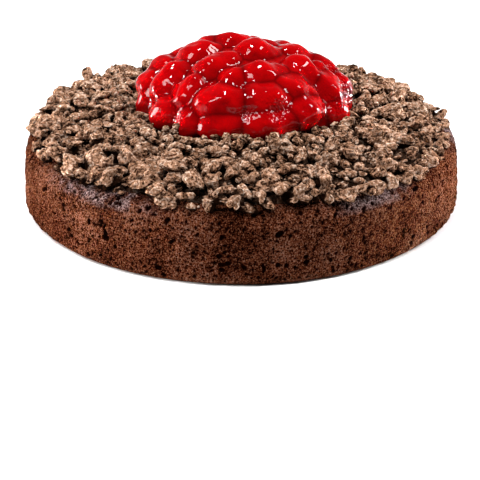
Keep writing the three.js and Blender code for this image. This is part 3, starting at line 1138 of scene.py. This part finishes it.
def places_to_try(long):
    """Radius and turn of a few places for a crumb: the edge at a random turn, times the square
    root of a random share, which spreads the places evenly over the area."""
    turn_at = fall.uniform(0, 2 * np.pi, TRIES)
    edge = HEAP_EDGE - EDGE_SWAY * np.cos(2 * turn_at) + EDGE_RIPPLE * np.sin(7 * turn_at + 1)
    for spill_turn, spill in SPILLS:
        facing = np.clip(np.cos(turn_at - np.radians(spill_turn)), 0, 1)
        edge += spill * facing**SPILL_POWER
    edge -= SIFTED * (long < FINE) + HELD_BACK * (long > COARSE)
    outside = LUMPS_OUTSIDE if long > COARSE else OTHERS_OUTSIDE
    return edge * np.sqrt(fall.uniform(outside, 1, TRIES)), turn_at


print("spills over the shoulder:", len(SPILLS))

# %% [markdown]
# Each crumb in turn tries its places, takes the one where the heap is least full, sinks a little
# between its neighbours and raises the ground under it. So small crumbs fill the gaps and the
# heap ends evenly deep. A simulation of falling bodies would do the same, far more slowly, and it
# wouldn't stop at the height wanted.

# %% Settling
REST_REACH = 0.85
REST_QUANTILE = 0.9
REST_HEIGHT = 0.85
TOP_HEIGHT = 0.95


def settle(sizes):
    """Middles of the crumbs: each rests on the high ground under it, a little sunk in, where the
    room left under the limit is the greatest share of the depth wanted. Crumbs that find no room
    get none."""
    middles = np.full((len(sizes), 3), np.nan)
    for number, (long, wide, thick) in enumerate(sizes):
        reach = max((long + wide) / 2, 1.0)
        cells = int(np.ceil(reach))
        radius, turn_at = places_to_try(long)
        best = None
        for x, y in zip(radius * np.cos(turn_at), radius * np.sin(turn_at)):
            i, j = int(round(x)) + GROUND_HALF, int(round(y)) + GROUND_HALF
            rows = slice(max(i - cells, 0), i + cells + 1)
            columns = slice(max(j - cells, 0), j + cells + 1)
            window = rows, columns
            gap = np.hypot(ground_x[window] - x, ground_y[window] - y) / reach
            under = ground[window][gap < REST_REACH]
            rest = np.quantile(under, REST_QUANTILE) + REST_HEIGHT * thick
            room_left = (limit[i, j] - rest - 0.5 * thick) / depth_wanted[i, j]
            if room_left > 0 and (best is None or room_left > best[0]):
                best = (room_left, x, y, rest, window, gap)
        if best is None:
            continue
        _, x, y, rest, window, gap = best
        middles[number] = x, y, rest
        top = rest + TOP_HEIGHT * thick * np.sqrt(np.clip(1 - gap**2, 0, 1))
        ground[window] = np.where(gap < 1, np.maximum(ground[window], top), ground[window])
    return middles


middles = settle(sizes)
lying = ~np.isnan(middles[:, 0])
print("crumbs lying:", [int((lying & (kind_of == n)).sum()) for n in range(len(CRUMBLE_KINDS))])

# %% [markdown]
# A crumb is broken from a dry dough, so it has blunt flat sides, and lumps where grains have held
# together. Sculpting a few by hand and copying them would repeat, so each is worked out as a
# radius in every direction of a ball, and all the crumbs of one size at once.


# %% Directions of a ball
def ball(around, rings):
    """Directions (v, 3) and triangles of a ball: rings of points between two poles."""
    fall_angle = np.linspace(np.pi, 0, rings + 2)[1:-1, None]
    turn_angle = np.linspace(0, 2 * np.pi, around, endpoint=False)
    grid = np.stack([
        np.sin(fall_angle) * np.cos(turn_angle),
        np.sin(fall_angle) * np.sin(turn_angle),
        np.cos(fall_angle) + 0 * turn_angle,
    ], axis=-1)
    return closed_rings(grid, [0, 0, -1], [0, 0, 1])


def along_each(directions, arrows):
    """How far each of v directions goes along each of k arrows of n crumbs: (n, v, k)."""
    return np.einsum("vc,nkc->nvk", directions, arrows)


print("points of a crumb:", [len(ball(*kind[3])[0]) for kind in CRUMBLE_KINDS.values()])

# %% [markdown]
# The flat sides come from a few random planes. In each direction the nearest one counts, and a
# soft minimum rounds off the edges where they meet. A slow swell keeps the crumb from being
# regular, and a ball round them all keeps it from growing spikes.

# %% Flat sides
FLATS = 8
FLAT_OUT = (0.52, 1.02)
LEAST_FACING = 0.15
FARTHEST = 1.1
ROUNDING = 45.0
SWELL = 0.38
SWELL_PITCH = 2.8


def flat_sided(directions, count):
    """Radius (count, v) to the nearest of a few planes and a ball, by a soft minimum: minus the
    logarithm of the sum of exponentials of minus the distances. All of them swell with the mean
    of three waves, the planes by its square."""
    normals = fall.normal(size=(count, FLATS, 3))
    normals /= np.linalg.norm(normals, axis=2, keepdims=True)
    facing = np.maximum(along_each(directions, normals), LEAST_FACING)
    flats = fall.uniform(*FLAT_OUT, (count, 1, FLATS)) / facing
    bend = fall.normal(size=(count, 3, 3))
    bend *= SWELL_PITCH / np.linalg.norm(bend, axis=2, keepdims=True)
    start = fall.uniform(0, 2 * np.pi, (count, 1, 3))
    swell = 1 + SWELL * np.sin(along_each(directions, bend) + start).mean(axis=2)
    flats = flats * swell[..., None] ** 2
    near = np.exp(-ROUNDING * flats).sum(axis=2) + np.exp(-ROUNDING * FARTHEST * swell)
    return -np.log(near) / ROUNDING


print("planes of a crumb:", FLATS)

# %% [markdown]
# The lumps are small balls that overlap round the middle. Where two of them meet is a seam, and
# the finish darkens it, because it lies in shadow.

# %% Lumps and seams
LOBES = 14
LOBE_OUT = (0.30, 0.62)
LOBE_RADIUS = (0.34, 0.50)
LOBE_CORE = 0.60
LOBE_SHARE = 0.15
LOBE_MEAN = 0.6
SEAM_WIDTH = 0.12


def lobed(directions, count):
    """Factor on the radius (count, v) and share of seam shade. A direction leaves each small ball
    at its distance along it plus the root of the chord's square, and the farthest counts. The seam
    is painted dark, a painted shade, where the two farthest are within SEAM_WIDTH of each other."""
    lobes = fall.normal(size=(count, LOBES, 3))
    out = fall.uniform(*LOBE_OUT, (count, LOBES, 1))
    lobes *= out / np.linalg.norm(lobes, axis=2, keepdims=True)
    lobe_radius = fall.uniform(*LOBE_RADIUS, (count, 1, LOBES))
    along = along_each(directions, lobes)
    chord = lobe_radius**2 - (lobes**2).sum(axis=2)[:, None, :] + along**2
    leaves = np.where(chord > 0, along + np.sqrt(np.maximum(chord, 0)), 0)
    two = np.maximum(np.partition(leaves, LOBES - 2, axis=2)[..., -2:], LOBE_CORE)
    seam_shade = 1 - np.clip((two[..., 1] - two[..., 0]) / SEAM_WIDTH, 0, 1)
    return 1 + LOBE_SHARE * ((two[..., 1] - LOBE_CORE) / (1 - LOBE_CORE) - LOBE_MEAN), seam_shade


print("lumps of a crumb:", LOBES)

# %% [markdown]
# Last come the creases. A sine without its sign turns sharply where the wave crosses zero, which
# leaves round swellings between sharp creases. Only a mesh with enough points gets them.

# %% Creases
# pitch and depth of the creases; a mesh takes one pair for every CREASE_POINTS of its points
CREASES = [(4.4, 0.24), (8.5, 0.20)]
CREASE_MEAN = 0.6
CREASE_POINTS = 120


def creased(directions, count, radius):
    """The radius times one plus depth times the mean of two waves' sines without their signs."""
    for pitch, depth in CREASES[: len(directions) // CREASE_POINTS]:
        wave = fall.normal(size=(count, 2, 3))
        wave *= pitch / np.linalg.norm(wave, axis=2, keepdims=True)
        phase = fall.uniform(0, 2 * np.pi, (count, 1, 2))
        lumps = np.abs(np.sin(along_each(directions, wave) + phase)).mean(axis=2)
        radius = radius * (1 + depth * (lumps - CREASE_MEAN))
    return radius


def crumbs(middles, sizes, turns, detail):
    """Points (n * v, 3), triangles, and for each point its share of painted seam shade, of crumbs
    with these middles. Each is stretched to its size, turned and moved."""
    directions, faces = ball(*detail)
    count = len(middles)
    radius = flat_sided(directions, count)
    lumpy, seam_shade = lobed(directions, count)
    radius = creased(directions, count, radius * lumpy)
    local = directions * radius[..., None] * sizes[:, None, :]
    points = middles[:, None, :] + np.einsum("nvc,ndc->nvd", local, turns)
    triangles = faces + (np.arange(count) * len(directions))[:, None, None]
    return points.reshape(-1, 3), triangles.reshape(-1, 3), seam_shade.ravel()


print("pairs of crease waves:", len(CREASES))

# %% [markdown]
# The crumbs are a dusty grey brown, paler than the sponge. Fine specks and slow clouds of a noise
# make up their colour, each crumb adds a tone of its own, and lines along the levels of a noise
# are their wrinkles, in colour and in bump. Specks and wrinkles are paler on their crests and
# darker in their dips, partly their own colour and partly a painted highlight and shade. A plain
# brown with a bump looks like clay, because what tells crumbs apart is the shade between them,
# and soft light leaves it too pale. So the meshes carry how deep a point lies in the heap and how
# near a seam or a neighbour is, and both go to nearly black, a painted shade. The bed, which is
# only seen between crumbs, is painted nearly black all over, a painted shade too.

# %% Crumble finish
SPECK_SHARE = 0.46
WRINKLE_SHARE = 0.13
CLOUD_SHARE = 0.24
TONE_SHARE = 0.02
SPECK_DEPTH = 0.8
WRINKLE_DEPTH = 0.5
BED_SHADE = 0.92

grain = Finish("chocolate_crumbs", Roughness=0.8, Specular_IOR_Level=0.0)
speck = grain.noise(1.0, detail=2, roughness=0.8)
wrinkle = grain.contours(5.0, 4.4, 2.0)
cloud = grain.noise(6, detail=2)
fine = grain.math(
    "ADD",
    grain.math("MULTIPLY", speck, SPECK_SHARE),
    grain.math("MULTIPLY", wrinkle, WRINKLE_SHARE),
)
slow = grain.math(
    "ADD",
    grain.math("MULTIPLY", cloud, CLOUD_SHARE),
    grain.math("MULTIPLY", grain.attribute("tone"), TONE_SHARE),
)
# Paler on raised specks and wrinkles, darker in their dips: partly a painted highlight and shade.
dry_colour = grain.ramp(
    grain.math("ADD", fine, slow),
    (0.31, (0.008, 0.003, 0.002)),
    (0.38, (0.222, 0.108, 0.060)),
    (0.46, (0.392, 0.218, 0.138)),
    # The palest brown stands partly for lit crest edges, a painted highlight.
    (0.56, (0.720, 0.540, 0.425)),
)
# Painted shade: deep in the heap, at seams and where crumbs touch, the colour goes nearly black.
painted_shade = grain.math("MAXIMUM", grain.attribute("sunk_shade"), grain.attribute("seam_shade"))
grain_colour = grain.mix(painted_shade, dry_colour, (0.008, 0.003, 0.0015))
grain_fine = grain.bump(wrinkle, WRINKLE_DEPTH)
grain_bump = grain.bump(speck, SPECK_DEPTH, before=grain_fine)
grain.set(Base_Color=grain_colour, Normal=grain_bump)

bed = mesh_piece("crumble_bed", bed_points, bed_triangles, grain.material)
add_attribute(bed, "tone", np.zeros(len(bed_points)))
# The bed is painted nearly as dark as the deepest shade.
add_attribute(bed, "sunk_shade", np.full(len(bed_points), BED_SHADE))
add_attribute(bed, "seam_shade", np.zeros(len(bed_points)))
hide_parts("chocolate_crumble")
print("bed points:", len(bed_points))

# %% [markdown]
# Loose crumbs come to rest mostly on their flat sides, so each is turned any way about the
# upright, and then tilted a little.

# %% Turning the crumbs
TILT_SPREAD = 0.45


def turned(count):
    """Turning matrices: any turn about the upright, then a random tilt in a random direction."""
    about = fall.uniform(0, 2 * np.pi, count)
    lean = fall.normal(0, TILT_SPREAD, count)
    towards = fall.uniform(0, 2 * np.pi, count)
    zero, one = np.zeros(count), np.ones(count)

    def upright(angle):
        cos, sin = np.cos(angle), np.sin(angle)
        return np.array([[cos, -sin, zero], [sin, cos, zero], [zero, zero, one]]).transpose(2, 0, 1)

    cos, sin = np.cos(lean), np.sin(lean)
    tip = np.array([[cos, zero, sin], [zero, one, zero], [-sin, zero, cos]]).transpose(2, 0, 1)
    return upright(towards) @ tip @ upright(about)


turns = turned(len(kind_of))
print("crumbs turned:", len(turns))

# %% [markdown]
# A soft light reaches in between crumbs this small and would leave them pale there, so the shade
# between them is painted. Both kinds of painted shade are measured on the settled heap. How deep a
# point lies is its height below the mean of the heap round it, and how near a neighbour is takes
# every crumb as its plain ball.

# %% Painted shade between the crumbs
LEVEL_REACH = 2
LEVEL_OVER = 2
SUNK_FROM = 0.2
SUNK_REACH = 1.8
CONTACT_REACH = 0.75
CONTACT_FIT = 0.86


def heap_level():
    """Mean height of the finished heap over a small square round each cell of the ground."""
    top = np.minimum(ground, limit + LEVEL_OVER)
    shifts = range(-LEVEL_REACH, LEVEL_REACH + 1)
    moved = [np.roll(top, (down, across), (0, 1)) for down in shifts for across in shifts]
    return np.mean(moved, axis=0)


def sunk_shade_share(points):
    """How far a point lies below the heap round it, from 0 above its mean level to 1 deep in:
    the share of painted shade there.
    """
    i, j = np.clip(np.rint(points[:, :2]).astype(int) + GROUND_HALF, 0, 2 * GROUND_HALF).T
    return np.clip((level[i, j] - points[:, 2] - SUNK_FROM) / SUNK_REACH, 0, 1)


def contact_shade_share(points, owners):
    """The share of painted shade where crumbs touch: the exponential of minus the square of the gap
    to the nearest other crumb, in units of CONTACT_REACH, which is one where they touch. A crumb is
    taken as its plain ball, stretched to its size and shrunk by CONTACT_FIT."""
    share = np.zeros(len(points))
    each = len(points) // len(owners)
    for number, owner in enumerate(owners):
        apart = np.linalg.norm(middles - middles[owner], axis=1)
        near = np.flatnonzero((apart < reaches + reaches[owner] + CONTACT_REACH) & (apart > 0))
        if not len(near):
            continue
        mine = slice(number * each, (number + 1) * each)
        away = points[mine, None, :] - middles[near]
        local = np.einsum("vnc,ncd->vnd", away, turns[near])
        half = sizes[near] * CONTACT_FIT
        scaled = np.linalg.norm(local / half, axis=2) + 1e-9
        slope = np.linalg.norm(local / half**2, axis=2) + 1e-9
        gap = np.maximum((scaled * (scaled - 1) / slope).min(axis=1), 0)
        share[mine] = np.exp(-((gap / CONTACT_REACH) ** 2))
    return share


level = heap_level()
reaches = sizes.max(axis=1)
print("mean level of the heap:", round(float(level[ground_radius < HEAP_EDGE].mean()), 1))

# %% [markdown]
# The crumbs are now made, one mesh for each size. Their faces are shaded flat, because a broken
# crumb has facets, and smooth shading would turn it into a pebble. Each gets its own tone.

# %% Crumbs
SEAM_SHADE = 0.45

for number, (name, (_, _, _, detail, _)) in enumerate(CRUMBLE_KINDS.items()):
    chosen = lying & (kind_of == number)
    many = int(chosen.sum())
    points, triangles, seam_shade = crumbs(middles[chosen], sizes[chosen], turns[chosen], detail)
    # Painted shade at the lumps' seams and where crumbs touch.
    seam_shade = np.maximum(SEAM_SHADE * seam_shade, contact_shade_share(points, np.flatnonzero(chosen)))
    heap = mesh_piece(name, points, triangles, grain.material, smooth=False)
    add_attribute(heap, "tone", np.repeat(fall.uniform(-1, 1, many), len(points) // many))
    add_attribute(heap, "seam_shade", seam_shade)
    add_attribute(heap, "sunk_shade", sunk_shade_share(points))
    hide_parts("chocolate_crumble")
    print(name, many, "crumbs,", len(triangles), "triangles")
